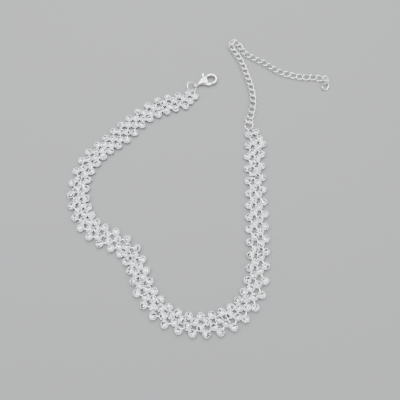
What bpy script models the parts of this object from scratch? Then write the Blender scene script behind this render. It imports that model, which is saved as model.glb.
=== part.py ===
"""Rhinestone mesh choker lying open: stone band, lobster clasp, jump rings and curb extender chain.

Metres, +Z up. The origin is the middle of the footprint, on the surface that the choker lies on.
The band is a square mesh of cups cut on the bias, so each row of four stones slants across it.
"""
import math

import bmesh
import bpy
import numpy as np

MM = 0.001
GAP = 0.3 * MM

# Middle of the footprint in the frame of the routes below (mm); every place is taken from it
FOOTPRINT_MIDDLE = (-0.871, -0.020)

# Stones and cups
STONES_ACROSS = 4
ROWS = 52
END_STONE_COUNT = 2
FIRST_ROW_OF_SECOND_HALF = 26
STONE_PITCH = 3.72 * MM
END_PITCH = 4.4 * MM
CUP_WIDTH = 3.3 * MM
CUP_CLEARANCE = 0.14 * MM
CUP_HEIGHT = 1.5 * MM
STRIP_HEIGHT = 0.5 * MM
STONE_RISE = 0.65 * MM
TABLE_WIDTH = 2.1 * MM

# Loops soldered to the end stones
LOOP_RADIUS = 1.25 * MM
LOOP_WIRE = 0.55 * MM
LOOP_REACH = 2.8 * MM
LOOP_MIDDLE = 1.0 * MM
LOOP_TILT = math.radians(28)
CLASP_LOOP_TURN = math.radians(16)

# Jump rings; a slack is the play left between two wires that pull on each other
RING_WIRE = 0.75 * MM
RING_SLACK = 0.6 * MM
CLASP_RING_OUTER = 6.0 * MM
CLASP_RING_TILT = math.radians(28)
CLASP_RING_HEADING = math.radians(104)
CLASP_EYE_HEADING = math.radians(32)
CLASP_RING_AXIS = (CLASP_RING_HEADING + CLASP_EYE_HEADING) / 2
EXTENDER_RING_OUTER = 5.2 * MM
EXTENDER_RING_TILTS = (math.radians(-28), math.radians(25))
EXTENDER_RING_OVERLAP = 1.25 * MM
EXTENDER_RING_HEADINGS = (math.radians(101), math.radians(84))
EXTENDER_RING_TURNS = (math.radians(7), math.radians(38))

# Curb chain
LINK_LENGTH = 5.1 * MM
LINK_WIDTH = 3.8 * MM
LINK_WIRE = 0.66 * MM
LINK_TWIST = 0.55 * MM
LINK_SLACK = 0.15 * MM
LINK_PITCH = LINK_LENGTH - 2 * LINK_WIRE - LINK_SLACK
LINK_SECTIONS = 10
LINK_SIDES = 5
FIRST_LINK_HEADING = math.radians(77)
FIRST_LINK_OVERLAP = 1.3 * MM

# Lobster clasp
HOOK_OUTER = 3.5 * MM
HOOK_WIRE = 1.25 * MM
HOOK_THICKNESS = 1.7 * MM
BODY_THICKNESS = 2.7 * MM
BODY_LIFT = 0.02 * MM
LEVER_THICKNESS = 0.9 * MM
PIN_DIAMETER = 0.8 * MM
EYE_OUTER = 3.2 * MM
EYE_WIRE = 0.7 * MM
EYE_TILT = math.radians(-32)
EYE_MIDDLE = 1.05 * MM
CLASP_HEADING = math.radians(23.3)

# The band's route: row number, centre of the row (mm) and its heading from outer to inner edge (degrees)
BAND_ROUTE = [
    (0, -4.9, 43.2, -29),
    (3, -21.7, 38.7, -28),
    (6, -35.9, 29.9, -1),
    (9, -47.5, 17.4, -6),
    (12, -59.0, 6.0, 12),
    (15, -64.3, -10.1, 48),
    (18, -60.1, -26.3, 76),
    (20, -52.9, -34.2, 103),
    (22, -42.6, -39.2, 106),
    (24, -34.8, -47.3, 77),
    (26, -30.6, -58.0, 70),
    (28, -24.8, -67.9, 90),
    (31, -10.3, -76.6, 127),
    (34, 6.7, -75.7, 151),
    (37, 19.4, -65.4, 194),
    (40, 23.8, -47.5, 224),
    (43, 24.2, -28.5, 224),
    (46, 24.4, -9.2, 230),
    (49, 25.1, 10.8, 222),
    (51, 27.4, 22.3, 202),
]

# The chain's route from its second hinge on (mm)
CHAIN_ROUTE = [
    (24.2, 34.3),
    (25.1, 38.5),
    (25.4, 43.0),
    (24.7, 50.0),
    (22.6, 58.0),
    (20.3, 66.0),
    (18.0, 71.5),
    (14.5, 77.6),
    (13.8, 80.6),
    (16.2, 81.8),
    (19.0, 79.6),
    (20.4, 75.4),
    (25.0, 71.4),
    (31.7, 67.5),
    (41.0, 60.7),
    (46.7, 58.6),
    (54.5, 56.9),
    (61.8, 56.7),
    (66.4, 54.4),
    (66.6, 51.0),
    (63.6, 48.9),
    (61.6, 48.9),
]

# How the links lie: link number, roll about the chain (degrees) and lift above the surface (mm)
CHAIN_LIE = [
    (0, -2, 0.73),
    (1, -2, 0.55),
    (2, 8, 0.0),
    (5, 15, 0.0),
    (13, 15, 0.0),
    (14, -30, 1.7),
    (15, 0, 0.0),
    (16, -5, 0.0),
    (17, 0, 0.0),
    (24, 0, 0.0),
    (30, 10, 0.0),
    (31, -20, 1.6),
    (32, 0, 0.0),
    (33, 0, 0.0),
]

# Clasp outlines, in hook radii from the middle of the hook, along the clasp and across it
BODY_OUTLINE = [
    (-0.67, -0.54),
    (-0.67, 0.40),
    (-0.47, 0.53),
    (-0.37, 0.91),
    (-0.67, 0.90),
    (-0.97, 0.84),
    (-1.26, 0.73),
    (-1.60, 0.56),
    (-2.00, 0.33),
    (-2.35, 0.22),
    (-2.35, -0.22),
    (-2.00, -0.23),
    (-1.63, -0.30),
    (-1.26, -0.50),
    (-0.97, -0.60),
]
LEVER_OUTLINE = [
    (-0.87, 0.29),
    (-0.84, 0.97),
    (-0.67, 1.43),
    (-0.79, 1.53),
    (-0.93, 1.46),
    (-1.11, 0.91),
    (-1.34, 0.29),
    (-1.43, 0.09),
    (-1.34, -0.23),
    (-1.17, -0.63),
    (-0.91, -0.86),
    (-0.60, -0.97),
    (-0.36, -0.85),
    (-0.16, -0.64),
    (-0.54, -0.60),
    (-0.77, -0.43),
    (-0.81, -0.14),
    (-0.79, 0.09),
]
SLOT_OUTLINE = [
    (-0.71, 1.30),
    (-1.80, 1.30),
    (-1.76, 0.70),
    (-1.53, 0.09),
    (-1.46, -0.30),
    (-1.34, -1.20),
    (-0.50, -1.20),
    (-0.50, 0.38),
    (-0.71, 0.45),
]
PIVOT = (-1.11, 0.09)
HOOK_START = math.radians(128)
HOOK_END = math.radians(-105)
HOOK_SECTIONS = 15

# The hook's nose ends on a circle about the pivot, so that the gate's tip can swing past it
NOSE_REACH = 1.30 * HOOK_OUTER


def material(name, colour, roughness, metallic):
    """A plain Principled material."""
    made = bpy.data.materials.new(name)
    made.use_nodes = True
    shader = made.node_tree.nodes["Principled BSDF"]
    shader.inputs["Base Color"].default_value = (*colour, 1.0)
    shader.inputs["Roughness"].default_value = roughness
    shader.inputs["Metallic"].default_value = metallic
    return made


def solid(name, points, faces, finish):
    """One closed mesh object with its faces turned outwards."""
    mesh = bpy.data.meshes.new(name)
    mesh.from_pydata([tuple(p) for p in points], [], faces)
    shell = bmesh.new()
    shell.from_mesh(mesh)
    bmesh.ops.recalc_face_normals(shell, faces=shell.faces)
    shell.to_mesh(mesh)
    shell.free()
    made = bpy.data.objects.new(name, mesh)
    made.data.materials.append(finish)
    bpy.context.scene.collection.objects.link(made)
    return made


def combine(target, tool, operation):
    """Boolean of one object with a hidden tool object."""
    step = target.modifiers.new(operation.lower() + "_" + tool.name, "BOOLEAN")
    step.operation = operation
    step.solver = "EXACT"
    step.use_self = True
    step.object = tool
    tool.hide_render = True
    tool.display_type = "WIRE"


def smooth_route(knots, values, places):
    """Cubic curve through the values at the knots, read at each place."""
    slopes = np.gradient(values, knots, axis=0)
    piece = np.clip(np.searchsorted(knots, places, side="right") - 1, 0, len(knots) - 2)
    span = (knots[piece + 1] - knots[piece])[:, None]
    t = (places[:, None] - knots[piece][:, None]) / span
    start = (2 * t**3 - 3 * t**2 + 1) * values[piece] + (t**3 - 2 * t**2 + t) * span * slopes[piece]
    end = (3 * t**2 - 2 * t**3) * values[piece + 1] + (t**3 - t**2) * span * slopes[piece + 1]
    return start + end


def direction(angle):
    """Level unit vector at an angle from +X."""
    return np.array([math.cos(angle), math.sin(angle), 0.0])


def stones_in_row(row):
    """Stone numbers of a row, from the outer edge; both ends of the band are trimmed slantwise."""
    first = max(0, row - (ROWS - 1) + STONES_ACROSS - END_STONE_COUNT)
    last = min(STONES_ACROSS - 1, row + END_STONE_COUNT - 1)
    return range(first, last + 1)


def settled(spots, pairs, targets, stretches):
    """Stone centres eased apart or together until every pair is as far apart as it should be.

    A pair whose targets may stretch is only pushed apart when it is too close.
    """
    for _ in range(80):
        run = spots[pairs[:, 1]] - spots[pairs[:, 0]]
        length = np.linalg.norm(run, axis=1)
        wrong = length - targets
        wrong[stretches & (wrong > 0)] = 0
        step = run / length[:, None] * wrong[:, None] * 0.2
        np.add.at(spots, pairs[:, 0], step)
        np.add.at(spots, pairs[:, 1], -step)
    return spots


def stone_places():
    """Place of each stone's base and the heading of its row, by row and stone number."""
    table = np.array(BAND_ROUTE, dtype=float)
    rows = smooth_route(table[:, 0], table[:, 1:], np.linspace(table[0, 0], table[-1, 0], ROWS))
    keys = [(row, stone) for row in range(ROWS) for stone in stones_in_row(row)]
    number = {key: i for i, key in enumerate(keys)}
    spots = []
    for row, stone in keys:
        offset = (stone - (STONES_ACROSS - 1) / 2) * STONE_PITCH
        spots.append((rows[row, :2] - FOOTPRINT_MIDDLE) * MM + direction(math.radians(rows[row, 2]))[:2] * offset)
    pairs = []
    targets = []
    stretches = []
    for row, stone in keys:
        pitch = END_PITCH if row in (0, ROWS - 1) else STONE_PITCH
        for other, target, stretch in (
            ((row, stone + 1), pitch, False),
            ((row + 1, stone + 1), CUP_WIDTH + CUP_CLEARANCE, True),
            ((row + 1, stone), CUP_WIDTH + CUP_CLEARANCE, True),
        ):
            if other in number:
                pairs.append((number[row, stone], number[other]))
                targets.append(target)
                stretches.append(stretch)
    spots = settled(np.array(spots), np.array(pairs), np.array(targets), np.array(stretches))
    return {
        key: (np.array([*spots[number[key]], 0.0]), math.radians(rows[key[0], 2])) for key in keys
    }


class Mesh:
    """Vertices and faces of one piece while it is put together."""

    def __init__(self):
        self.points = []
        self.faces = []

    def add(self, point):
        self.points.append(np.array(point, dtype=float))
        return len(self.points) - 1

    def bridge(self, first, second):
        """Four-sided sleeve between two quads whose corners match."""
        for i in range(4):
            k = (i + 1) % 4
            self.faces.append((first[i], first[k], second[k], second[i]))

    def spread(self, first, second):
        """Total distance between matching corners."""
        return sum(np.linalg.norm(self.points[a] - self.points[b]) for a, b in zip(first, second))


class Cell:
    """One stone in its cup: an eight-sided cup, eight crown facets and a square table.

    Side 0 faces the next stone of the row and the others follow anticlockwise, so the even sides
    face the four neighbours of the mesh. A side that carries a strip is split at the strip's height.
    """

    def __init__(self, mesh, place, heading, split_sides):
        corner = CUP_WIDTH / 2 / math.cos(math.pi / 8)
        table_corner = TABLE_WIDTH / 2 * math.sqrt(2)
        split_corners = {(side + step) % 8 for side in split_sides for step in (0, 1)}
        self.low = []
        self.middle = {}
        self.high = []
        for i in range(8):
            out = direction(heading + (i - 0.5) * math.pi / 4) * corner
            self.low.append(mesh.add(place + out))
            self.high.append(mesh.add(place + out + (0, 0, CUP_HEIGHT)))
            if i in split_corners:
                self.middle[i] = mesh.add(place + out + (0, 0, STRIP_HEIGHT))
        top = CUP_HEIGHT + STONE_RISE
        self.table = []
        for i in range(4):
            out = direction(heading + (2 * i + 1) * math.pi / 4) * table_corner
            self.table.append(mesh.add(place + out + (0, 0, top)))
        mesh.faces.append(tuple(reversed(self.low)))
        mesh.faces.append(tuple(self.table))

    def lower_quad(self, side):
        """Corners of a side below the strip's height, right to left seen from outside."""
        k = (side + 1) % 8
        return [self.low[side], self.low[k], self.middle[k], self.middle[side]]

    def upper_quad(self, side):
        """Corners of a side above the strip's height, right to left seen from outside."""
        k = (side + 1) % 8
        return [self.middle[side], self.middle[k], self.high[k], self.high[side]]

    def close(self, mesh, open_low, open_high):
        """Wall faces, apart from the quads that a strip or loop leaves from, and the crown."""
        for side in range(8):
            k = (side + 1) % 8
            right = side in self.middle
            left = k in self.middle
            if right and left:
                if side not in open_low:
                    mesh.faces.append(tuple(self.lower_quad(side)))
                if side not in open_high:
                    mesh.faces.append(tuple(self.upper_quad(side)))
            elif right:
                mesh.faces.append((self.low[side], self.low[k], self.middle[side]))
                mesh.faces.append((self.middle[side], self.low[k], self.high[k]))
                mesh.faces.append((self.middle[side], self.high[k], self.high[side]))
            elif left:
                mesh.faces.append((self.low[side], self.low[k], self.middle[k]))
                mesh.faces.append((self.low[side], self.middle[k], self.high[side]))
                mesh.faces.append((self.high[side], self.middle[k], self.high[k]))
            else:
                mesh.faces.append((self.low[side], self.low[k], self.high[k], self.high[side]))
            before = self.table[(side // 2 - 1) % 4]
            corner = self.table[side // 2]
            if side % 2:
                mesh.faces.append((self.high[side], self.high[k], corner))
            else:
                mesh.faces.append((self.high[side], self.high[k], corner, before))


def turned_quad(quad):
    """A facing quad's corners in the order in which a sleeve meets them."""
    return [quad[1], quad[0], quad[3], quad[2]]


def end_pair(places, row):
    """Base places of the two stones of an end row and the heading that its loop stands out along."""
    stones = stones_in_row(row)
    pair = [places[row, stones[0]][0], places[row, stones[-1]][0]]
    run = pair[1] - pair[0]
    across = math.atan2(run[1], run[0])
    return pair, across + math.pi / 2 + CLASP_LOOP_TURN if row == 0 else across - math.pi / 2


def end_loop(mesh, first, second, pair, outward):
    """Flat-wire loop from one end stone's cup to the other's, standing out past them."""
    run = pair[1] - pair[0]
    left_handed = np.cross(direction(outward), run)[2] < 0
    along = direction(outward - math.pi / 2 if left_handed else outward + math.pi / 2)
    across = direction(outward)
    middle = (pair[0] + pair[1]) / 2
    rise = np.array([0, 0, LOOP_WIRE / 2])
    quad = first
    for angle in np.radians([195, 165, 135, 105, 75, 45, 15, -15]):
        x = LOOP_RADIUS * math.cos(angle)
        y = LOOP_REACH + LOOP_RADIUS * math.sin(angle)
        centre = middle + along * x + across * y + (0, 0, LOOP_MIDDLE + x * math.tan(LOOP_TILT))
        side = (along * math.cos(angle) + across * math.sin(angle)) * LOOP_WIRE / 2
        right = -side if left_handed else side
        section = [centre + right - rise, centre - right - rise, centre - right + rise, centre + right + rise]
        following = [mesh.add(p) for p in section]
        mesh.bridge(quad, following)
        quad = following
    mesh.bridge(quad, second)


def stone_band(name, rows, places, finish):
    """The rows of one half of the band, with the strips that join neighbouring cups."""
    mesh = Mesh()
    links = {}
    for row in rows:
        for stone in stones_in_row(row):
            links[row, stone] = []
            if (row, stone + 1) in places:
                links[row, stone].append((0, (row, stone + 1)))
            if (row + 1, stone + 1) in places:
                links[row, stone].append((6, (row + 1, stone + 1)))
    split = {key: {side for side, other in found} for key, found in links.items()}
    for key, found in links.items():
        for side, other in found:
            if other in split:
                split[other].add((side + 4) % 8)
    open_low = {key: set(sides) for key, sides in split.items()}
    open_high = {key: set() for key in split}
    end_row = {0: (0, 1, 3), ROWS - 1: (STONES_ACROSS - END_STONE_COUNT, 7, 5)}
    for row in set(end_row) & set(rows):
        stone, near_side, far_side = end_row[row]
        for key, side in (((row, stone), near_side), ((row, stone + 1), far_side)):
            split[key].add(side)
            open_high[key].add(side)
    cells = {key: Cell(mesh, *places[key], split[key]) for key in split}
    for key, found in links.items():
        for side, other in found:
            quad = cells[key].lower_quad(side)
            if other in cells:
                mesh.bridge(quad, turned_quad(cells[other].lower_quad((side + 4) % 8)))
            else:
                stub_strip(mesh, quad, places[other], (side + 4) % 8)
    for key, cell in cells.items():
        cell.close(mesh, open_low[key], open_high[key])
    for row in set(end_row) & set(rows):
        stone, near_side, far_side = end_row[row]
        first = cells[row, stone].upper_quad(near_side)
        second = turned_quad(cells[row, stone + 1].upper_quad(far_side))
        end_loop(mesh, first, second, *end_pair(places, row))
    return solid(name, mesh.points, mesh.faces, finish)


def stub_strip(mesh, quad, other_place, other_side):
    """A strip that stops one gap short of the cup that it reaches for in the other half."""
    place, heading = other_place
    corner = CUP_WIDTH / 2 / math.cos(math.pi / 8)
    clear = direction(heading + other_side * math.pi / 4) * GAP
    stopped = []
    for step, height in ((1, 0.0), (0, 0.0), (0, STRIP_HEIGHT), (1, STRIP_HEIGHT)):
        out = direction(heading + (other_side + step - 0.5) * math.pi / 4) * corner
        stopped.append(mesh.add(place + out + clear + (0, 0, height)))
    mesh.bridge(quad, stopped)
    mesh.faces.append(tuple(stopped))


def wire_sections(mesh, path, radii, sides, closed):
    """Corner numbers of a wire's cross sections; radii are its half sizes across its bend and level."""
    count = len(path)
    centre = path.mean(axis=0)
    sections = []
    for i in range(count):
        ahead = path[(i + 1) % count] if closed or i < count - 1 else path[i]
        behind = path[i - 1] if closed or i > 0 else path[i]
        tangent = (ahead - behind) / np.linalg.norm(ahead - behind)
        outward = path[i] - centre
        outward = outward - tangent * np.dot(outward, tangent)
        outward = outward / np.linalg.norm(outward)
        upward = np.cross(tangent, outward)
        section = []
        for k in range(sides):
            angle = 2 * math.pi * k / sides
            offset = outward * radii[0] * math.cos(angle) + upward * radii[1] * math.sin(angle)
            section.append(mesh.add(path[i] + offset))
        sections.append(section)
    return sections


def quad_at(sections, spot):
    """Corner numbers of one quad of a wire, named by its section and side."""
    near = sections[spot[0]]
    far = sections[(spot[0] + 1) % len(sections)]
    k = (spot[1] + 1) % len(near)
    return [near[spot[1]], near[k], far[k], far[spot[1]]]


def wire_faces(mesh, sections, closed, open_quads=()):
    """Faces of a wire, apart from the quads named by section and side that a weld leaves from."""
    for i in range(len(sections) if closed else len(sections) - 1):
        for k in range(len(sections[i])):
            if (i, k) not in open_quads:
                mesh.faces.append(tuple(quad_at(sections, (i, k))))
    if not closed:
        mesh.faces.append(tuple(sections[0]))
        mesh.faces.append(tuple(reversed(sections[-1])))


def wire(mesh, path, radii, sides, closed):
    """A whole wire along a path."""
    wire_faces(mesh, wire_sections(mesh, path, radii, sides, closed), closed)


def tilted_circle(centre, radius, axis_heading, tilt, count):
    """Points of a circle turned by a tilt about a level axis through its centre."""
    along = direction(axis_heading)
    level = direction(axis_heading + math.pi / 2)
    across = level * math.cos(tilt) + np.array([0, 0, math.sin(tilt)])
    angles = np.arange(count) * 2 * math.pi / count
    return centre + radius * (np.outer(np.cos(angles), along) + np.outer(np.sin(angles), across))


def ring_radius(outer):
    """Radius of a jump ring's centre line."""
    return (outer - RING_WIRE) / 2


def ring_places(places):
    """Middles of the clasp's ring and of the two extender rings, from the loops that they hang in."""
    reach = LOOP_REACH + LOOP_RADIUS - LOOP_WIRE / 2 - RING_WIRE / 2 - RING_SLACK
    found = []
    for row, outer, heading in (
        (0, CLASP_RING_OUTER, CLASP_RING_HEADING),
        (ROWS - 1, EXTENDER_RING_OUTER, EXTENDER_RING_HEADINGS[0]),
    ):
        pair, outward = end_pair(places, row)
        found.append((pair[0] + pair[1]) / 2 + direction(outward) * reach + direction(heading) * ring_radius(outer))
    apart = 2 * ring_radius(EXTENDER_RING_OUTER) - EXTENDER_RING_OVERLAP
    found.append(found[1] + direction(EXTENDER_RING_HEADINGS[1]) * apart)
    return found


def jump_ring(name, place, outer, axis_heading, tilt, finish):
    """A round wire ring that leans on the surface at one side."""
    radius = ring_radius(outer)
    height = radius * math.sin(abs(tilt)) + RING_WIRE / 2
    mesh = Mesh()
    path = tilted_circle(place + (0, 0, height), radius, axis_heading, tilt, 12)
    wire(mesh, path, (RING_WIRE / 2,) * 2, 6, True)
    return solid(name, mesh.points, mesh.faces, finish)


def curb_link(mesh, place, heading, roll, lift):
    """Sections of a twisted oval link whose lowest point is the lift above the surface.

    The link's height follows the sine of twice the turn round it.
    """
    turns = (np.arange(LINK_SECTIONS) + 0.5) * 2 * math.pi / LINK_SECTIONS
    x = (LINK_LENGTH - LINK_WIRE) / 2 * np.cos(turns)
    y = (LINK_WIDTH - LINK_WIRE) / 2 * np.sin(turns)
    z = -LINK_TWIST * np.sin(2 * turns)
    rolled_y = y * math.cos(roll) - z * math.sin(roll)
    rolled_z = y * math.sin(roll) + z * math.cos(roll)
    path = place + np.outer(x, direction(heading)) + np.outer(rolled_y, direction(heading + math.pi / 2))
    path[:, 2] = rolled_z
    start = len(mesh.points)
    sections = wire_sections(mesh, path, (LINK_WIRE / 2,) * 2, LINK_SIDES, True)
    lowest = min(point[2] for point in mesh.points[start:])
    for point in mesh.points[start:]:
        point[2] += lift - lowest
    return sections


def facing_quads(mesh, first, second):
    """The quad of each of two links that face each other most closely."""
    spots = [(i, k) for i in range(LINK_SECTIONS) for k in range(LINK_SIDES)]
    centres = []
    normals = []
    for sections in (first, second):
        corners = np.array([[mesh.points[c] for c in quad_at(sections, spot)] for spot in spots])
        axis = np.array(
            [np.mean([mesh.points[c] for c in sections[i] + sections[(i + 1) % LINK_SECTIONS]], axis=0) for i, _ in spots]
        )
        normal = np.cross(corners[:, 2] - corners[:, 0], corners[:, 3] - corners[:, 1])
        normal = normal / np.linalg.norm(normal, axis=1)[:, None]
        centre = corners.mean(axis=1)
        inward = np.sum(normal * (centre - axis), axis=1) < 0
        normal[inward] = -normal[inward]
        centres.append(centre)
        normals.append(normal)
    run = centres[1][None, :, :] - centres[0][:, None, :]
    length = np.linalg.norm(run, axis=2)
    leaving = np.einsum("ijk,ik->ij", run, normals[0]) / length
    meeting = -np.einsum("ijk,jk->ij", run, normals[1]) / length
    score = length * (7 - 3 * leaving - 3 * meeting)
    best = np.unravel_index(np.argmin(score), score.shape)
    return spots[best[0]], spots[best[1]]


def weld(mesh, first, second):
    """Short sleeve between two quads that face each other, its corners matched where they lie nearest."""
    facing = list(reversed(second))
    turned = [facing[i:] + facing[:i] for i in range(4)]
    mesh.bridge(first, min(turned, key=lambda quad: mesh.spread(first, quad)))


def chain_stations(ring_place):
    """Middle, heading, roll and lift of every link: equal steps from hinge to hinge along the route."""
    start_reach = ring_radius(EXTENDER_RING_OUTER) + (LINK_LENGTH - LINK_WIRE) / 2 - FIRST_LINK_OVERLAP
    hinge = ring_place[:2] + direction(FIRST_LINK_HEADING)[:2] * (start_reach - LINK_PITCH / 2)
    table = np.vstack([hinge, (np.array(CHAIN_ROUTE) - FOOTPRINT_MIDDLE) * MM])
    knots = np.concatenate([[0.0], np.cumsum(np.linalg.norm(np.diff(table, axis=0), axis=1))])
    fine = smooth_route(knots, table, np.linspace(0, knots[-1], 6000))
    lie = np.array(CHAIN_LIE, dtype=float)
    stations = []
    at = 0
    while True:
        far = np.nonzero(np.linalg.norm(fine[at:] - hinge, axis=1) >= LINK_PITCH)[0]
        if len(far) == 0:
            return stations
        at += far[0]
        run = fine[at] - hinge
        roll, lift = (np.interp(len(stations), lie[:, 0], lie[:, k]) for k in (1, 2))
        middle = np.array([*(hinge + fine[at]) / 2, 0.0])
        stations.append((middle, math.atan2(run[1], run[0]), math.radians(roll), lift * MM))
        hinge = fine[at]


def extender_chain(ring_place, finish):
    """Curb chain along its route, every link welded to the next where they cross."""
    mesh = Mesh()
    links = [curb_link(mesh, *station) for station in chain_stations(ring_place)]
    welds = [facing_quads(mesh, *pair) for pair in zip(links, links[1:])]
    for i, sections in enumerate(links):
        open_quads = {welds[i][0]} if i < len(welds) else set()
        if i > 0:
            open_quads.add(welds[i - 1][1])
        wire_faces(mesh, sections, True, open_quads)
    for (at_end, at_start), first, second in zip(welds, links, links[1:]):
        weld(mesh, quad_at(first, at_end), quad_at(second, at_start))
    return solid("extender_chain", mesh.points, mesh.faces, finish)


def plate(name, outline, low, high, finish):
    """A flat outline with thickness, in the clasp's own frame: X along it, Y across."""
    count = len(outline)
    points = [(x, y, low) for x, y in outline] + [(x, y, high) for x, y in outline]
    faces = [tuple(range(count)), tuple(range(count, 2 * count))]
    faces += [(i, (i + 1) % count, (i + 1) % count + count, i + count) for i in range(count)]
    return solid(name, points, faces, finish)


def round_outline(centre, radius, count):
    """A regular outline about a centre."""
    return [
        (centre[0] + radius * math.cos(2 * math.pi * i / count), centre[1] + radius * math.sin(2 * math.pi * i / count))
        for i in range(count)
    ]


def gate_swing(pivot, finish):
    """Wedge about the pivot that the gate's tip swings through."""
    turns = np.radians(np.linspace(-75, -20, 12))
    arc = [(pivot[0] + NOSE_REACH * math.cos(turn), pivot[1] + NOSE_REACH * math.sin(turn)) for turn in turns]
    return plate("gate_swing", [pivot, *arc], 0.0, BODY_THICKNESS, finish)


def in_hook_radii(outline):
    """An outline in hook radii turned into metres."""
    return [(x * HOOK_OUTER, y * HOOK_OUTER) for x, y in outline]


def clasp(ring_place, finish):
    """Lobster clasp lying flat: body with hook, eye and pin, and the sprung lever on the pin."""
    middle = BODY_LIFT + BODY_THICKNESS / 2
    slot = LEVER_THICKNESS / 2 + GAP
    pivot = (PIVOT[0] * HOOK_OUTER, PIVOT[1] * HOOK_OUTER)
    body = plate("clasp_body", in_hook_radii(BODY_OUTLINE), BODY_LIFT, BODY_LIFT + BODY_THICKNESS, finish)
    hook_radius = HOOK_OUTER - HOOK_WIRE / 2
    turns = np.linspace(HOOK_START, HOOK_END, HOOK_SECTIONS)
    path = np.column_stack([np.cos(turns), np.sin(turns), np.zeros(HOOK_SECTIONS)]) * hook_radius
    path[:, 2] = middle
    hook_mesh = Mesh()
    wire(hook_mesh, path, (HOOK_WIRE / 2, HOOK_THICKNESS / 2), 8, False)
    hook = solid("hook", hook_mesh.points, hook_mesh.faces, finish)
    eye_radius = (EYE_OUTER - EYE_WIRE) / 2
    eye_centre = np.array([BODY_OUTLINE[9][0] * HOOK_OUTER - eye_radius + EYE_WIRE / 4, 0.0, EYE_MIDDLE])
    eye_mesh = Mesh()
    wire(eye_mesh, tilted_circle(eye_centre, eye_radius, 0.0, EYE_TILT, 12), (EYE_WIRE / 2,) * 2, 6, True)
    eye = solid("eye", eye_mesh.points, eye_mesh.faces, finish)
    opening = plate("slot", in_hook_radii(SLOT_OUTLINE), middle - slot, middle + slot, finish)
    pin_reach = BODY_THICKNESS / 2 - GAP
    pin = plate("pin", round_outline(pivot, PIN_DIAMETER / 2, 8), middle - pin_reach, middle + pin_reach, finish)
    swing = gate_swing(pivot, finish)
    combine(hook, swing, "DIFFERENCE")
    combine(body, hook, "UNION")
    combine(body, eye, "UNION")
    combine(body, opening, "DIFFERENCE")
    combine(body, pin, "UNION")
    lever_low = middle - LEVER_THICKNESS / 2
    lever_high = middle + LEVER_THICKNESS / 2
    lever = plate("clasp_lever", in_hook_radii(LEVER_OUTLINE), lever_low, lever_high, finish)
    hole = plate("pin_hole", round_outline(pivot, PIN_DIAMETER / 2 + GAP, 10), 0.0, BODY_THICKNESS, finish)
    combine(lever, hole, "DIFFERENCE")
    eye_place = ring_place + direction(CLASP_EYE_HEADING) * ring_radius(CLASP_RING_OUTER)
    place = eye_place - direction(CLASP_HEADING) * eye_centre[0]
    for piece in (body, hook, swing, eye, opening, pin, lever, hole):
        piece.location = place
        piece.rotation_euler = (0.0, 0.0, CLASP_HEADING)
    return body, lever


def main():
    for old in list(bpy.data.objects):
        bpy.data.objects.remove(old, do_unlink=True)
    stone = material("stones_in_silver_cups", (0.80, 0.82, 0.85), 0.12, 0.6)
    silver = material("silver_plate", (0.74, 0.74, 0.76), 0.2, 1.0)
    places = stone_places()
    stone_band("stone_band_clasp_half", range(FIRST_ROW_OF_SECOND_HALF), places, stone)
    stone_band("stone_band_extender_half", range(FIRST_ROW_OF_SECOND_HALF, ROWS), places, stone)
    clasp_ring, first_ring, second_ring = ring_places(places)
    jump_ring("clasp_ring", clasp_ring, CLASP_RING_OUTER, CLASP_RING_AXIS, CLASP_RING_TILT, silver)
    first_axis = EXTENDER_RING_HEADINGS[0] + EXTENDER_RING_TURNS[0]
    jump_ring("extender_ring_1", first_ring, EXTENDER_RING_OUTER, first_axis, EXTENDER_RING_TILTS[0], silver)
    second_axis = EXTENDER_RING_HEADINGS[1] + EXTENDER_RING_TURNS[1]
    jump_ring("extender_ring_2", second_ring, EXTENDER_RING_OUTER, second_axis, EXTENDER_RING_TILTS[1], silver)
    extender_chain(second_ring, silver)
    clasp(clasp_ring, silver)


main()
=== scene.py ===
# %% [markdown]
# # A rhinestone mesh choker
# The choker lies open on a pale table: a band of 202 clear stones in silver-tone cups, a lobster clasp
# at one end and a curb extender chain at the other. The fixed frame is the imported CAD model. It could
# simply be painted, but its stones and links are coarse, so each CAD node is replaced by finer pieces
# that stand at the same places, worked out from the same routes as in the CAD source.

# %% Load the frame
import math

import bpy
import numpy as np
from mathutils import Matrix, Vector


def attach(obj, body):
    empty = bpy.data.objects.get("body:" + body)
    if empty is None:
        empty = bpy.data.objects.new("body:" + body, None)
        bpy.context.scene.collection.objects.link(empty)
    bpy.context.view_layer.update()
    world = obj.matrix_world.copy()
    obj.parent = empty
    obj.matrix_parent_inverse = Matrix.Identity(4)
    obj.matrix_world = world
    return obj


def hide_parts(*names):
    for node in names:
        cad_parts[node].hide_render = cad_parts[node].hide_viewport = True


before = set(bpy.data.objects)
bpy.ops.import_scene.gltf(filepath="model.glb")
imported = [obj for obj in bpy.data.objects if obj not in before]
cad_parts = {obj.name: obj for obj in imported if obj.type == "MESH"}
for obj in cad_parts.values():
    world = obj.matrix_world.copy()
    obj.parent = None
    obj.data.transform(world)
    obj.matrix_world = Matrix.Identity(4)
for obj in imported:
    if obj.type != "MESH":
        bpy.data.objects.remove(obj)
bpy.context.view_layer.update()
MM = 0.001
print("nodes", sorted(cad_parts))

# %% [markdown]
# ## The band's layout
# On the real choker the cups form a square mesh cut on the bias, so each row of four slants across the
# band, and the band bends because rows shear and open. The places could be typed in one by one; here a
# smooth curve through twenty stations gives every row, and neighbours are then eased apart to the
# mesh's own spacing.

# %% Routes
FOOTPRINT_MIDDLE = np.array([-0.871, -0.020])
STONES_ACROSS, ROWS, END_STONES, SECOND_HALF = 4, 52, 2, 26
STONE_PITCH, END_PITCH = 3.72 * MM, 4.4 * MM
CUP_WIDTH, CUP_CLEARANCE = 3.3 * MM, 0.14 * MM

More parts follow.
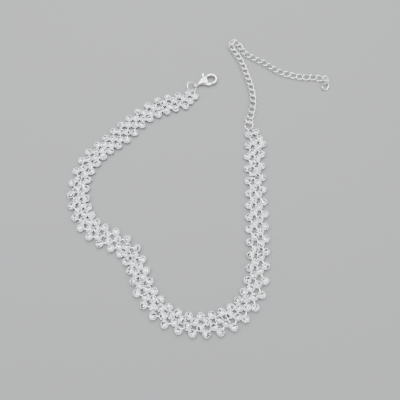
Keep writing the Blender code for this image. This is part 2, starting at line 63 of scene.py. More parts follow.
# Row number, centre of the row (mm) and its heading from the outer to the inner edge (degrees)
BAND_ROUTE = np.array([
    (0, -4.9, 43.2, -29), (3, -21.7, 38.7, -28), (6, -35.9, 29.9, -1), (9, -47.5, 17.4, -6),
    (12, -59.0, 6.0, 12), (15, -64.3, -10.1, 48), (18, -60.1, -26.3, 76), (20, -52.9, -34.2, 103),
    (22, -42.6, -39.2, 106), (24, -34.8, -47.3, 77), (26, -30.6, -58.0, 70), (28, -24.8, -67.9, 90),
    (31, -10.3, -76.6, 127), (34, 6.7, -75.7, 151), (37, 19.4, -65.4, 194), (40, 23.8, -47.5, 224),
    (43, 24.2, -28.5, 224), (46, 24.4, -9.2, 230), (49, 25.1, 10.8, 222), (51, 27.4, 22.3, 202),
])


def smooth_route(knots, values, places):
    """Cubic curve through the values at the knots, its slope at a knot being the mean slope around it."""
    slopes = np.gradient(values, knots, axis=0)
    piece = np.clip(np.searchsorted(knots, places, side="right") - 1, 0, len(knots) - 2)
    span = (knots[piece + 1] - knots[piece])[:, None]
    t = (places[:, None] - knots[piece][:, None]) / span
    start = (2 * t**3 - 3 * t**2 + 1) * values[piece] + (t**3 - 2 * t**2 + t) * span * slopes[piece]
    end = (3 * t**2 - 2 * t**3) * values[piece + 1] + (t**3 - t**2) * span * slopes[piece + 1]
    return start + end


def direction(angle):
    """Level unit vectors at angles from +X: cosine, sine, zero."""
    angle = np.asarray(angle, dtype=float)
    return np.stack([np.cos(angle), np.sin(angle), np.zeros_like(angle)], axis=-1)


# %% Stone places
row_route = smooth_route(BAND_ROUTE[:, 0], BAND_ROUTE[:, 1:], np.linspace(0, ROWS - 1, ROWS))
row_of, stone_of = (a.ravel() for a in np.mgrid[0:ROWS, 0:STONES_ACROSS])
from_last = row_of - (ROWS - 1) + STONES_ACROSS - END_STONES
kept = (stone_of >= from_last) & (stone_of <= row_of + END_STONES - 1)
row_of, stone_of = row_of[kept], stone_of[kept]
number = np.full((ROWS + 1, STONES_ACROSS + 1), -1)
number[row_of, stone_of] = np.arange(len(row_of))
cup_heading = np.radians(row_route[row_of, 2])


def neighbours(row_step, stone_step):
    """Pairs of stone numbers that lie so many rows and stones apart."""
    first = np.arange(len(row_of))
    second = number[row_of + row_step, stone_of + stone_step]
    return np.stack([first, second], axis=1)[second >= 0]


def settled(spots, rounds=80, share=0.2):
    """Each round moves the two stones of a pair along their line by a share of its error.

    Neighbours in a row keep their pitch; stones of neighbouring rows are only pushed apart.
    """
    along = neighbours(0, 1)
    across = np.vstack([neighbours(1, 1), neighbours(1, 0)])
    end = np.isin(row_of[along[:, 0]], (0, ROWS - 1))
    pairs = np.vstack([along, across])
    nearest = np.full(len(across), CUP_WIDTH + CUP_CLEARANCE)
    targets = np.concatenate([np.where(end, END_PITCH, STONE_PITCH), nearest])
    stretches = np.arange(len(pairs)) >= len(along)
    for _ in range(rounds):
        run = spots[pairs[:, 1]] - spots[pairs[:, 0]]
        length = np.linalg.norm(run, axis=1)
        wrong = length - targets
        wrong[stretches & (wrong > 0)] = 0
        step = run / length[:, None] * wrong[:, None] * share
        np.add.at(spots, pairs[:, 0], step)
        np.add.at(spots, pairs[:, 1], -step)
    return spots


in_row = (stone_of - (STONES_ACROSS - 1) / 2)[:, None] * STONE_PITCH
first_guess = (row_route[row_of, :2] - FOOTPRINT_MIDDLE) * MM + direction(cup_heading)[:, :2] * in_row
cup_place = np.column_stack([settled(first_guess), np.zeros(len(row_of))])
half_of = np.where(row_of < SECOND_HALF, 0, 1)
HALVES = ("clasp_half", "extender_half")
print(len(cup_place), "stones, the band's stones span", np.ptp(cup_place, axis=0)[:2])

# %% [markdown]
# ## Shapes as arrays
# Every piece is a surface over a grid of two parameters: along a profile or wire, and around it. A shape
# is kept as three arrays (its points, the corners of its faces one after the other, and how many corners
# each face has), so that it can be repeated hundreds of times without a loop over vertices.

# %% Shape helpers
def unit(vectors):
    """Vectors divided by their lengths."""
    return vectors / np.linalg.norm(vectors, axis=-1, keepdims=True)


def grid(points, closed=False):
    """Quads over points [along, around]; around is always closed, and open ends get one flat face each."""
    along, around = points.shape[:2]
    index = np.arange(along * around).reshape(along, around)
    first, last = index[0, ::-1], index[-1]
    if closed:
        index = np.vstack([index, index[:1]])
    index = np.hstack([index, index[:, :1]])
    quads = np.stack([index[:-1, :-1], index[:-1, 1:], index[1:, 1:], index[1:, :-1]], axis=-1).reshape(-1, 4)
    corners, sizes = quads.ravel(), np.full(len(quads), 4)
    if not closed:
        corners = np.concatenate([corners, first, last])
        sizes = np.concatenate([sizes, [around, around]])
    return points.reshape(-1, 3), corners, sizes


def oval(around, squareness=2.0):
    """Cosine and sine of v, each raised to 2 / squareness: a circle at 2, nearer a square above it."""
    v = np.arange(around) * 2 * math.pi / around
    across, up = np.cos(v), np.sin(v)
    return np.sign(across) * np.abs(across) ** (2 / squareness), np.sign(up) * np.abs(up) ** (2 / squareness)


def wire(path, radii, sides, closed=True, reference=(0, 0, 1), squareness=2.0):
    """Wire along a path: path + side * a * cos(v) + lift * b * sin(v), with v's oval made squarer if asked.

    side is square to the path and to the reference direction, and lift is square to both.
    """
    ahead, behind = np.roll(path, -1, axis=0), np.roll(path, 1, axis=0)
    if not closed:
        ahead[-1], behind[0] = path[-1], path[0]
    tangent = unit(ahead - behind)
    side = unit(np.cross(np.array(reference, dtype=float), tangent))
    lift = np.cross(tangent, side)
    radii = np.broadcast_to(radii, (len(path), 2))[:, :, None, None]
    across, up = (part[None, :, None] for part in oval(sides, squareness))
    points = path[:, None] + side[:, None] * radii[:, 0] * across + lift[:, None] * radii[:, 1] * up
    return grid(points, closed)


def joined(shapes):
    """Several shapes as one."""
    offsets = np.cumsum([0] + [len(s[0]) for s in shapes[:-1]])
    return (
        np.vstack([s[0] for s in shapes]),
        np.concatenate([s[1] + offset for s, offset in zip(shapes, offsets)]),
        np.concatenate([s[2] for s in shapes]),
    )


def repeated(shape, places, headings, stretch=None):
    """A shape turned by each heading and moved to each place, and drawn out along its own X if asked."""
    points, corners, sizes = shape
    count = len(places)
    stretch = np.ones(count) if stretch is None else stretch
    x = points[None, :, 0] * stretch[:, None]
    y = np.broadcast_to(points[None, :, 1], x.shape)
    cos, sin = np.cos(headings)[:, None], np.sin(headings)[:, None]
    z = np.broadcast_to(points[None, :, 2], x.shape)
    spread = np.stack([x * cos - y * sin, x * sin + y * cos, z], axis=-1) + places[:, None]
    shift = np.arange(count)[:, None] * len(points)
    return spread.reshape(-1, 3), (corners[None] + shift).ravel(), np.tile(sizes, count)


def turned(points, heading, place):
    """Points turned by a heading about Z and moved to a place."""
    cos, sin = math.cos(heading), math.sin(heading)
    return points @ np.array([[cos, sin, 0], [-sin, cos, 0], [0, 0, 1]]) + place


def piece(name, shape, finish, node, smooth=True, body="necklace"):
    """A mesh object from a shape, riding on a body and standing for a CAD node."""
    points, corners, sizes = shape
    mesh = bpy.data.meshes.new(name)
    mesh.vertices.add(len(points))
    mesh.vertices.foreach_set("co", points.astype(np.float32).ravel())
    mesh.loops.add(len(corners))
    mesh.loops.foreach_set("vertex_index", corners.astype(np.int32))
    mesh.polygons.add(len(sizes))
    mesh.polygons.foreach_set("loop_start", (np.cumsum(sizes) - sizes).astype(np.int32))
    mesh.polygons.foreach_set("use_smooth", np.full(len(sizes), smooth))
    mesh.update(calc_edges=True)
    mesh.materials.append(finish)
    made = bpy.data.objects.new(name, mesh)
    bpy.context.scene.collection.objects.link(made)
    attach(made, body)
    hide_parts(node)
    print(name, len(points), "points,", int((sizes - 2).sum()), "triangles")
    return made


# %% [markdown]
# ## The finishes
# All the metal is bright silver-tone plate, with fine hairlines from wear, a faint cloudiness and a little
# darkening in the hollows. Each metal could have nodes of its own, but one effect serves all of them, so
# it is made once as a node group and placed in each metal with its own values. The shader itself stays
# in each material.

# %% Worn plating group
def socket(group, name, kind, side, value=None):
    """A named input or output of a node group."""
    made = group.interface.new_socket(name=name, in_out=side, socket_type=kind)
    if value is not None:
        made.default_value = value
    return made


def plating_wear():
    """Noise on Object coordinates: clouds dull the polish, drawn-out noise is hairlines, hollows darken."""
    group = bpy.data.node_groups.new("plating_wear", "ShaderNodeTree")
    socket(group, "Metal Colour", "NodeSocketColor", "INPUT", (0.8, 0.8, 0.8, 1))
    socket(group, "Hollow Colour", "NodeSocketColor", "INPUT", (0.3, 0.3, 0.3, 1))
    socket(group, "Polish", "NodeSocketFloat", "INPUT", 0.15)
    socket(group, "Cloudiness", "NodeSocketFloat", "INPUT", 0.1)
    socket(group, "Cloud Density", "NodeSocketFloat", "INPUT", 700.0)
    socket(group, "Colour", "NodeSocketColor", "OUTPUT")
    socket(group, "Roughness", "NodeSocketFloat", "OUTPUT")
    socket(group, "Height", "NodeSocketFloat", "OUTPUT")
    nodes, links = group.nodes, group.links
    start, end = nodes.new("NodeGroupInput"), nodes.new("NodeGroupOutput")
    place = nodes.new("ShaderNodeTexCoord")
    clouds = nodes.new("ShaderNodeTexNoise")
    clouds.inputs["Detail"].default_value = 3.0
    links.new(place.outputs["Object"], clouds.inputs["Vector"])
    links.new(start.outputs["Cloud Density"], clouds.inputs["Scale"])
    drawn = nodes.new("ShaderNodeMapping")
    drawn.inputs["Rotation"].default_value = (0.3, 0.2, 0.7)
    drawn.inputs["Scale"].default_value = (1.0, 14.0, 1.0)
    links.new(place.outputs["Object"], drawn.inputs["Vector"])
    hairlines = nodes.new("ShaderNodeTexNoise")
    hairlines.inputs["Scale"].default_value = 900.0
    hairlines.inputs["Detail"].default_value = 4.0
    links.new(drawn.outputs["Vector"], hairlines.inputs["Vector"])
    dulled = nodes.new("ShaderNodeMath")
    dulled.operation = "MULTIPLY_ADD"
    links.new(clouds.outputs["Fac"], dulled.inputs[0])
    links.new(start.outputs["Cloudiness"], dulled.inputs[1])
    links.new(start.outputs["Polish"], dulled.inputs[2])
    scratched = nodes.new("ShaderNodeMath")
    scratched.operation = "MULTIPLY_ADD"
    scratched.inputs[1].default_value = 0.06
    links.new(hairlines.outputs["Fac"], scratched.inputs[0])
    links.new(dulled.outputs["Value"], scratched.inputs[2])
    links.new(scratched.outputs["Value"], end.inputs["Roughness"])
    links.new(hairlines.outputs["Fac"], end.inputs["Height"])
    form = nodes.new("ShaderNodeNewGeometry")
    hollow = nodes.new("ShaderNodeMapRange")
    hollow.inputs["From Min"].default_value = 0.38
    hollow.inputs["From Max"].default_value = 0.49
    links.new(form.outputs["Pointiness"], hollow.inputs["Value"])
    tint = nodes.new("ShaderNodeMix")
    tint.data_type = "RGBA"
    links.new(hollow.outputs["Result"], tint.inputs["Factor"])
    links.new(start.outputs["Hollow Colour"], tint.inputs["A"])
    links.new(start.outputs["Metal Colour"], tint.inputs["B"])
    links.new(tint.outputs["Result"], end.inputs["Colour"])
    return group


WEAR = plating_wear()


# %% Silver-tone metals
def silver(name, metal, hollow, polish, cloudiness, density):
    """Polished plate: metallic shader whose colour, roughness and fine bump come from the wear group."""
    made = bpy.data.materials.new(name)
    made.use_nodes = True
    nodes, links = made.node_tree.nodes, made.node_tree.links
    shader = nodes["Principled BSDF"]
    shader.inputs["Metallic"].default_value = 1.0
    wear = nodes.new("ShaderNodeGroup")
    wear.node_tree = WEAR
    wear.inputs["Metal Colour"].default_value = (*metal, 1)
    wear.inputs["Hollow Colour"].default_value = (*hollow, 1)
    wear.inputs["Polish"].default_value = polish
    wear.inputs["Cloudiness"].default_value = cloudiness
    wear.inputs["Cloud Density"].default_value = density
    links.new(wear.outputs["Colour"], shader.inputs["Base Color"])
    links.new(wear.outputs["Roughness"], shader.inputs["Roughness"])
    bump = nodes.new("ShaderNodeBump")
    bump.inputs["Strength"].default_value = 0.05
    bump.inputs["Distance"].default_value = 0.02 * MM
    links.new(wear.outputs["Height"], bump.inputs["Height"])
    links.new(bump.outputs["Normal"], shader.inputs["Normal"])
    return made


CUP_SILVER = silver("cup_silver", (0.86, 0.87, 0.89), (0.35, 0.35, 0.37), 0.10, 0.10, 900.0)
CHAIN_SILVER = silver("chain_silver", (0.84, 0.84, 0.85), (0.35, 0.35, 0.36), 0.12, 0.12, 600.0)
CLASP_SILVER = silver("clasp_silver", (0.86, 0.86, 0.87), (0.38, 0.38, 0.40), 0.09, 0.10, 500.0)
print("metals", [metal.name for metal in (CUP_SILVER, CHAIN_SILVER, CLASP_SILVER)])

# %% [markdown]
# ## The stones
# Each stone is a clear, foil-backed chaton: a flat table, a crown of stars, kites and girdle facets, and
# the foil behind, which throws the light back out in pieces. Real glass could be traced through, but it
# is slow and noisy at this size. So that light is painted: each facet carries its own tone as an attribute,
# a painted glint or painted dark reflection as bright or dark as the foil looks through it, which becomes
# its base colour under a sharp clear gloss. A stone that catches the light on one side stays dark on the
# other, so each also has a side of painted shade, and these mostly look the same way.

# %% Stone cut
GIRDLE_RADIUS, STAR_RADIUS, TABLE_RADIUS = 1.53 * MM, 1.22 * MM, 0.86 * MM
STONE_FOOT, GIRDLE_HEIGHT, STAR_HEIGHT, TABLE_HEIGHT = 1.0 * MM, 1.5 * MM, 1.86 * MM, 2.12 * MM


def stone_cut():
    """A table point, then rings of 8, 8, 16 and 16 points whose radius and height step out and down."""
    eighth = np.arange(8) * math.pi / 4
    sixteenth = np.arange(16) * math.pi / 8
    points = np.vstack([
        [[0, 0, TABLE_HEIGHT]],
        direction(eighth) * TABLE_RADIUS + (0, 0, TABLE_HEIGHT),
        direction(eighth + math.pi / 8) * STAR_RADIUS + (0, 0, STAR_HEIGHT),
        direction(sixteenth) * GIRDLE_RADIUS + (0, 0, GIRDLE_HEIGHT),
        direction(sixteenth) * GIRDLE_RADIUS + (0, 0, STONE_FOOT),
    ])
    i, j = np.arange(8), np.arange(16)
    after, behind, j_after = (i + 1) % 8, (i - 1) % 8, (j + 1) % 16
    table = np.stack([0 * i, 1 + i, 1 + after], axis=1)
    stars = np.stack([1 + i, 9 + i, 1 + after], axis=1)
    kites = np.stack([1 + i, 9 + behind, 17 + 2 * i, 9 + i], axis=1)
    girdle = np.stack([9 + j // 2, 17 + j, 17 + j_after], axis=1)
    wall = np.stack([17 + j, 33 + j, 33 + j_after, 17 + j_after], axis=1)
    parts = (table, stars, kites, girdle, wall, 33 + j[None, ::-1])
    corners = np.concatenate([part.ravel() for part in parts])
    sizes = np.concatenate([np.full(len(part), part.shape[1]) for part in parts])
    return points, corners, sizes


STONE = stone_cut()
print("one stone has", len(STONE[2]), "facets")

# %% Facet tones
# In the order of the cut (table, stars, kites, girdle, wall, foot): the number of facets, and the share of
# them painted dark on the stone's lit side and on its side of painted shade
TONES = np.array([
    (8, 0.15, 0.9), (8, 0.15, 0.8), (8, 0.10, 0.4), (16, 0.10, 0.3), (16, 0.6, 0.6), (1, 1.0, 1.0),
])
# Mean heading of the stones' sides of painted shade, and how far they stray from it
DARK_HEADING, DARK_SPREAD = math.radians(90), math.radians(65)
FACET_START = np.cumsum(STONE[2]) - STONE[2]
FACET_CENTRE = np.add.reduceat(STONE[0][STONE[1]], FACET_START, axis=0) / STONE[2][:, None]
FACET_HEADING = np.arctan2(FACET_CENTRE[:, 1], FACET_CENTRE[:, 0])
BRIGHT_SIDE, DARK_SIDE = np.repeat(TONES[:, 1:], TONES[:, 0].astype(int), axis=0).T


def paint_facet_light(spin, chance):
    """For each stone's facets, a tone of painted light: 0 to 0.35 where it is painted dark and 0.6 to 1 (a
    painted glint) elsewhere.

    Each stone's side of painted shade looks its own way, and the share of dark facets grows towards it with
    the square of (1 + cos turn) / 2.
    """
    dark_way = chance.normal(DARK_HEADING, DARK_SPREAD, len(spin))
    towards = (1 + np.cos(spin[:, None] + FACET_HEADING - dark_way[:, None])) / 2
    dark = chance.random(towards.shape) < BRIGHT_SIDE + (DARK_SIDE - BRIGHT_SIDE) * towards**2
    within = chance.random(towards.shape)
    return np.where(dark, 0.35 * within, 0.6 + 0.4 * within).ravel()


def crystal():
    """Clear foil-backed stone: the facet tone paints the foil's reflected light and the stone's shaded side
    into the base colour, under a sharp gloss.
    """
    made = bpy.data.materials.new("clear_stone")
    made.use_nodes = True
    nodes, links = made.node_tree.nodes, made.node_tree.links
    shader = nodes["Principled BSDF"]
    shader.inputs["Metallic"].default_value = 0.2
    shader.inputs["Roughness"].default_value = 0.04
    shader.inputs["IOR"].default_value = 1.35
    shader.inputs["Coat Weight"].default_value = 0.25
    shader.inputs["Coat Roughness"].default_value = 0.02
    tone = nodes.new("ShaderNodeAttribute")
    tone.attribute_name = "facet_painted_light"
    # Ramp from tone to base colour: painted dark reflections and painted shade at the low end, painted glints
    # at the top
    ramp = nodes.new("ShaderNodeValToRGB")
    ramp.color_ramp.elements[0].color = (0.008, 0.009, 0.011, 1)
    ramp.color_ramp.elements[1].color = (0.97, 0.98, 1.0, 1)
    for place, colour in ((0.35, (0.07, 0.072, 0.078, 1)), (0.6, (0.52, 0.53, 0.55, 1))):
        ramp.color_ramp.elements.new(place).color = colour
    links.new(tone.outputs["Fac"], ramp.inputs["Fac"])
    links.new(ramp.outputs["Color"], shader.inputs["Base Color"])
    return made


CRYSTAL = crystal()
chance = np.random.default_rng(11)
for half, part in enumerate(HALVES):
    chosen = half_of == half
    spin = cup_heading[chosen] + chance.random(chosen.sum()) * math.pi / 4
    spread = repeated(STONE, cup_place[chosen], spin)
    stones = piece("stones_" + part, spread, CRYSTAL, "stone_band_" + part, smooth=False)
    # Each facet's painted light or painted shade, kept as a face attribute that the stone material reads
    attribute = stones.data.attributes.new("facet_painted_light", "FLOAT", "FACE")
    attribute.data.foreach_set("value", paint_facet_light(spin, chance).astype(np.float32))

# %% [markdown]
# ## The cups
# A cup is pressed from thin sheet: a rounded square bowl whose rim holds the stone's girdle. It could be
# a box with bevels; a profile turned round a rounded square gives the soft corners with few faces.

# %% Cup bowls
CUP_SQUARENESS, CUP_LENGTHENING = 3.4, 1.08
# Share of the cup's half width and height (mm), from the foot up the outside, over the rim and down inside
CUP_PROFILE = np.array([(0.74, 0.04), (0.95, 0.30), (1.0, 1.0), (0.99, 1.50), (0.92, 1.56), (0.88, 1.20)])


def cup_bowl(around=16):
    """Profile turned round a superellipse: radius / (|cos v|^n + |sin v|^n)^(1/n)."""
    v = np.arange(around) * 2 * math.pi / around
    power = CUP_SQUARENESS
    square = (np.abs(np.cos(v)) ** power + np.abs(np.sin(v)) ** power) ** (-1 / power)
    points = direction(v)[None] * square[None, :, None] * CUP_PROFILE[:, 0, None, None] * CUP_WIDTH / 2
    points[:, :, 2] = CUP_PROFILE[:, 1, None] * MM
    return grid(points)


# %% [markdown]
# ## The claws
# At each corner of a cup a narrow tongue of the sheet is folded over the stone. It could be bent from a
# strip with a modifier; a flat wire along a short path is simpler, because it goes up the corner, inwards
# over the girdle, and tapers to its tip.

# %% Cup claws
# Distance from the cup's middle and height along a claw (mm), and the claw's thickness and width (mm)
CLAW_PATH = np.array([(1.84, 0.85), (1.86, 1.45), (1.74, 1.84), (1.48, 2.02), (1.26, 2.00)])
CLAW_SIZE = np.array([(0.22, 0.70), (0.24, 0.74), (0.26, 0.72), (0.24, 0.62), (0.16, 0.36)])


def claw():
    """A flat wire in the plane of X and Z whose size shrinks to the tip."""
    path = np.column_stack([CLAW_PATH[:, 0], np.zeros(len(CLAW_PATH)), CLAW_PATH[:, 1]]) * MM
    return wire(path, CLAW_SIZE / 2 * MM, 6, closed=False, reference=(0, 1, 0))


CUP = cup_bowl()
CORNERS = math.pi / 4 + np.arange(4) * math.pi / 2
CLAWS = repeated(claw(), np.zeros((4, 3)), CORNERS)
for half, part in enumerate(HALVES):
    chosen = half_of == half
    for name, shape in (("cups_", CUP), ("claws_", CLAWS)):
        longer = np.full(chosen.sum(), CUP_LENGTHENING)
        spread = repeated(shape, cup_place[chosen], cup_heading[chosen], longer)
        piece(name + part, spread, CUP_SILVER, "stone_band_" + part)

# %% [markdown]
# ## The mesh's links
# Under the stones, small straps tie each cup to the next one of its row and to one cup of the next row.
# They show as bright threads across the dark gaps. Each could be a bar of its own, but they differ only
# in length. So one strap is made once, a little waisted, and then repeated and drawn out to each pair's
# distance.

# %% Straps between cups
STRAP_HEIGHT, STRAP_THICKNESS = 0.62 * MM, 0.34 * MM
# Place along the strap from one cup's middle to the other's, and the strap's width (mm)
STRAP_SHAPE = np.array([(0.30, 1.0), (0.42, 0.72), (0.5, 0.62), (0.58, 0.72), (0.70, 1.0)])


def strap():
    """A flat wire one unit long whose width narrows at the middle."""
    level = np.ones(len(STRAP_SHAPE))
    path = np.column_stack([STRAP_SHAPE[:, 0], 0 * level, STRAP_HEIGHT * level])
    radii = np.column_stack([STRAP_SHAPE[:, 1] / 2 * MM, STRAP_THICKNESS / 2 * level])
    return wire(path, radii, 8, closed=False)


tied = np.vstack([neighbours(0, 1), neighbours(1, 1)])
run = cup_place[tied[:, 1]] - cup_place[tied[:, 0]]
strap_length, strap_heading = np.linalg.norm(run, axis=1), np.arctan2(run[:, 1], run[:, 0])
for half, part in enumerate(HALVES):
    chosen = half_of[tied[:, 0]] == half
    straps = repeated(strap(), cup_place[tied[chosen, 0]], strap_heading[chosen], strap_length[chosen])
    piece("straps_" + part, straps, CUP_SILVER, "stone_band_" + part)
print(len(tied), "straps")

# %% [markdown]
# ## The end loops
# The last two cups of each end are joined by a wire loop that the jump ring hangs in. The loop leaves one
# cup's corner, turns round outside the band and comes back to the other cup. A bevelled curve object
# could draw it; one open wire through a few computed points keeps its feet on the cups.

# %% Loops of the band's ends
LOOP_RADIUS, LOOP_WIRE, LOOP_REACH, LOOP_MIDDLE = 1.25 * MM, 0.55 * MM, 2.8 * MM, 1.0 * MM
LOOP_TILT, CLASP_LOOP_TURN = math.radians(28), math.radians(16)
# Where the loop's feet stand in their cups, as a share of a cup's width from its middle
LOOP_FOOT = 0.42


def end_pair(row):
    """Places of an end row's two stones and the heading that its loop stands out along."""
    pair = cup_place[row_of == row]
    across = math.atan2(*(pair[1] - pair[0])[1::-1])
    return pair, across + math.pi / 2 + CLASP_LOOP_TURN if row == 0 else across - math.pi / 2


def loop_shape(row, sides=10):
    """Wire from one cup round an arc to the other: middle + along * r cos + outward * (reach + r sin)."""
    pair, outward = end_pair(row)
    run = pair[1] - pair[0]
    side = -1 if np.cross(direction(outward), run)[2] < 0 else 1
    along, across = direction(outward + side * math.pi / 2), direction(outward)
    angles = np.radians(np.linspace(195, -15, 29))[:, None]
    x, y = LOOP_RADIUS * np.cos(angles), LOOP_REACH + LOOP_RADIUS * np.sin(angles)
    lift = np.array([[0, 0, 1.0]]) * (LOOP_MIDDLE + x * math.tan(LOOP_TILT))
    arc = pair.mean(axis=0) + along * x + across * y + lift
    feet = pair + unit(arc[[0, -1]] - pair) * (1, 1, 0) * CUP_WIDTH * LOOP_FOOT + (0, 0, LOOP_MIDDLE)
    path = np.vstack([feet[:1], arc, feet[1:]])
    at = np.concatenate([[0], np.cumsum(np.linalg.norm(np.diff(path, axis=0), axis=1))])
    return wire(smooth_route(at, path, np.linspace(0, at[-1], 48)), LOOP_WIRE / 2, sides, closed=False)


piece("end_loop_clasp", loop_shape(0), CUP_SILVER, "stone_band_clasp_half")
piece("end_loop_extender", loop_shape(ROWS - 1), CUP_SILVER, "stone_band_extender_half")

# %% [markdown]
# ## The jump rings
# A jump ring is round wire bent to a circle, cut once. One ring joins the band to the clasp and two join
# it to the chain. Each leans on the table at one side, so it can pass through its neighbours. A torus
# would hide the cut, so each is an open wire that stops a little short of its start.

# %% Jump rings
RING_WIRE, RING_SLACK = 0.75 * MM, 0.6 * MM
CLASP_RING_OUTER, CLASP_RING_TILT = 6.0 * MM, math.radians(28)
CLASP_RING_HEADING, CLASP_EYE_HEADING = math.radians(104), math.radians(32)
EXTENDER_RING_OUTER, EXTENDER_RING_OVERLAP = 5.2 * MM, 1.25 * MM
# Of the first and the second ring of the extender: the heading it is pulled along, the lean about a
# level axis, and how far that axis turns away from the heading
EXTENDER_RING_HEADINGS = np.radians([101, 84])
EXTENDER_RING_TILTS, EXTENDER_RING_TURNS = np.radians([-28, 25]), np.radians([7, 38])
CLOSED_CUT, OPEN_CUT = 0.06 * MM, 0.5 * MM


def ring_radius(outer):
    """Radius of a jump ring's centre line."""
    return (outer - RING_WIRE) / 2


def ring_place(row, outer, heading):
    """Middle of a ring that pulls on an end loop along a heading."""
    pair, outward = end_pair(row)
    reach = LOOP_REACH + LOOP_RADIUS - LOOP_WIRE / 2 - RING_WIRE / 2 - RING_SLACK
    return pair.mean(axis=0) + direction(outward) * reach + direction(heading) * ring_radius(outer)


def jump_ring(place, outer, axis_heading, tilt, cut_at, cut, sides=12):
    """Circle turned by a tilt about a level axis; its wire stops short of a full turn by the cut."""
    radius = ring_radius(outer)
    half_cut = cut / 2 / radius
    turns = math.radians(cut_at) + np.linspace(half_cut, 2 * math.pi - half_cut, 49)[:, None]
    along = direction(axis_heading)
    across = direction(axis_heading + math.pi / 2) * math.cos(tilt) + (0, 0, math.sin(tilt))
    middle = place + (0, 0, radius * math.sin(abs(tilt)) + RING_WIRE / 2)
    path = middle + radius * (np.cos(turns) * along + np.sin(turns) * across)
    return wire(path, RING_WIRE / 2, sides, closed=False)


clasp_ring = ring_place(0, CLASP_RING_OUTER, CLASP_RING_HEADING)
first_ring = ring_place(ROWS - 1, EXTENDER_RING_OUTER, EXTENDER_RING_HEADINGS[0])
rings_apart = 2 * ring_radius(EXTENDER_RING_OUTER) - EXTENDER_RING_OVERLAP
second_ring = first_ring + direction(EXTENDER_RING_HEADINGS[1]) * rings_apart
clasp_axis = (CLASP_RING_HEADING + CLASP_EYE_HEADING) / 2
first_axis, second_axis = EXTENDER_RING_HEADINGS + EXTENDER_RING_TURNS
first_tilt, second_tilt = EXTENDER_RING_TILTS
ring = jump_ring(clasp_ring, CLASP_RING_OUTER, clasp_axis, CLASP_RING_TILT, 200, CLOSED_CUT)
piece("jump_ring_clasp", ring, CHAIN_SILVER, "clasp_ring")
ring = jump_ring(first_ring, EXTENDER_RING_OUTER, first_axis, first_tilt, 50, OPEN_CUT)
piece("jump_ring_1", ring, CHAIN_SILVER, "extender_ring_1")
ring = jump_ring(second_ring, EXTENDER_RING_OUTER, second_axis, second_tilt, 250, CLOSED_CUT)
piece("jump_ring_2", ring, CHAIN_SILVER, "extender_ring_2")

# %% [markdown]
# ## The extender chain
# A curb link is an oval of wire, twisted so that it lies flat in the chain. Its centre line is an
# ellipse whose height follows the sine of twice the turn, and the sign of the twist decides on which
# side the chain shows an unbroken bright line. A link could be an array of copies on a curve, but the
# links here step along a drawn route from hinge to hinge, and each has its own roll, because a chain
# dropped on a table lies on one side or the other.

# %% Chain route
LINK_LENGTH, LINK_WIDTH, LINK_WIRE = 5.1 * MM, 3.8 * MM, 0.66 * MM
LINK_TWIST, LINK_SLACK = 0.55 * MM, 0.15 * MM
LINK_PITCH = LINK_LENGTH - 2 * LINK_WIRE - LINK_SLACK
FIRST_LINK_HEADING, FIRST_LINK_OVERLAP = math.radians(77), 1.3 * MM
# Points of the chain's middle line (mm)
CHAIN_ROUTE = np.array([
    (24.2, 34.3), (25.1, 38.5), (25.4, 43.0), (24.7, 50.0), (22.6, 58.0), (20.3, 66.0), (18.0, 71.5),
    (14.5, 77.6), (13.8, 80.6), (16.2, 81.8), (19.0, 79.6), (20.4, 75.4), (25.0, 71.4), (31.7, 67.5),
    (41.0, 60.7), (46.7, 58.6), (54.5, 56.9), (61.8, 56.7), (66.4, 54.4), (66.6, 51.0), (63.6, 48.9),
    (61.6, 48.9),
])
# Link number, roll about the chain (degrees) and lift above the table (mm): the first two links rise into
# the second ring, and links 14 and 31 lie on others where the chain turns back
CHAIN_LIE = np.array([
    (0, -2, 0.73), (1, -2, 0.55), (2, 8, 0.0), (5, 15, 0.0), (13, 15, 0.0), (14, -30, 1.7), (15, 0, 0.0),
    (16, -5, 0.0), (17, 0, 0.0), (24, 0, 0.0), (30, 10, 0.0), (31, -20, 1.6), (32, 0, 0.0), (33, 0, 0.0),
])


def chain_stations():
    """Middle, heading, roll and lift of every link, walking one pitch at a time along the route."""
    reach = ring_radius(EXTENDER_RING_OUTER) + (LINK_LENGTH - LINK_WIRE) / 2 - FIRST_LINK_OVERLAP
    hinge = second_ring[:2] + direction(FIRST_LINK_HEADING)[:2] * (reach - LINK_PITCH / 2)
    table = np.vstack([hinge, (CHAIN_ROUTE - FOOTPRINT_MIDDLE) * MM])
    knots = np.concatenate([[0.0], np.cumsum(np.linalg.norm(np.diff(table, axis=0), axis=1))])
    fine = smooth_route(knots, table, np.linspace(0, knots[-1], 6000))
    stations, at = [], 0
    while True:
        far = np.nonzero(np.linalg.norm(fine[at:] - hinge, axis=1) >= LINK_PITCH)[0]
        if len(far) == 0:
            return stations
        at += far[0]
        run = fine[at] - hinge
        roll, lift = (np.interp(len(stations), CHAIN_LIE[:, 0], CHAIN_LIE[:, k]) for k in (1, 2))
        middle = np.array([*(hinge + fine[at]) / 2, 0.0])
        stations.append((middle, math.atan2(run[1], run[0]), math.radians(roll), lift * MM))
        hinge = fine[at]


# %% Chain links
def curb_link(place, heading, roll, lift, along=28, sides=10):
    """Ellipse a cos(u), b sin(u) of height -t sin(2u), rolled about its length and lifted off the table."""
    u = np.arange(along) * 2 * math.pi / along
    x = (LINK_LENGTH - LINK_WIRE) / 2 * np.cos(u)
    y = (LINK_WIDTH - LINK_WIRE) / 2 * np.sin(u)
    z = -LINK_TWIST * np.sin(2 * u)
    cos, sin = math.cos(roll), math.sin(roll)
    rolled = np.column_stack([x, y * cos - z * sin, y * sin + z * cos])
    points, corners, sizes = wire(turned(rolled, heading, place), LINK_WIRE / 2, sides)
    points[:, 2] += lift - points[:, 2].min()
    return points, corners, sizes


stations = chain_stations()
piece("curb_chain", joined([curb_link(*station) for station in stations]), CHAIN_SILVER, "extender_chain")
print(len(stations), "links")

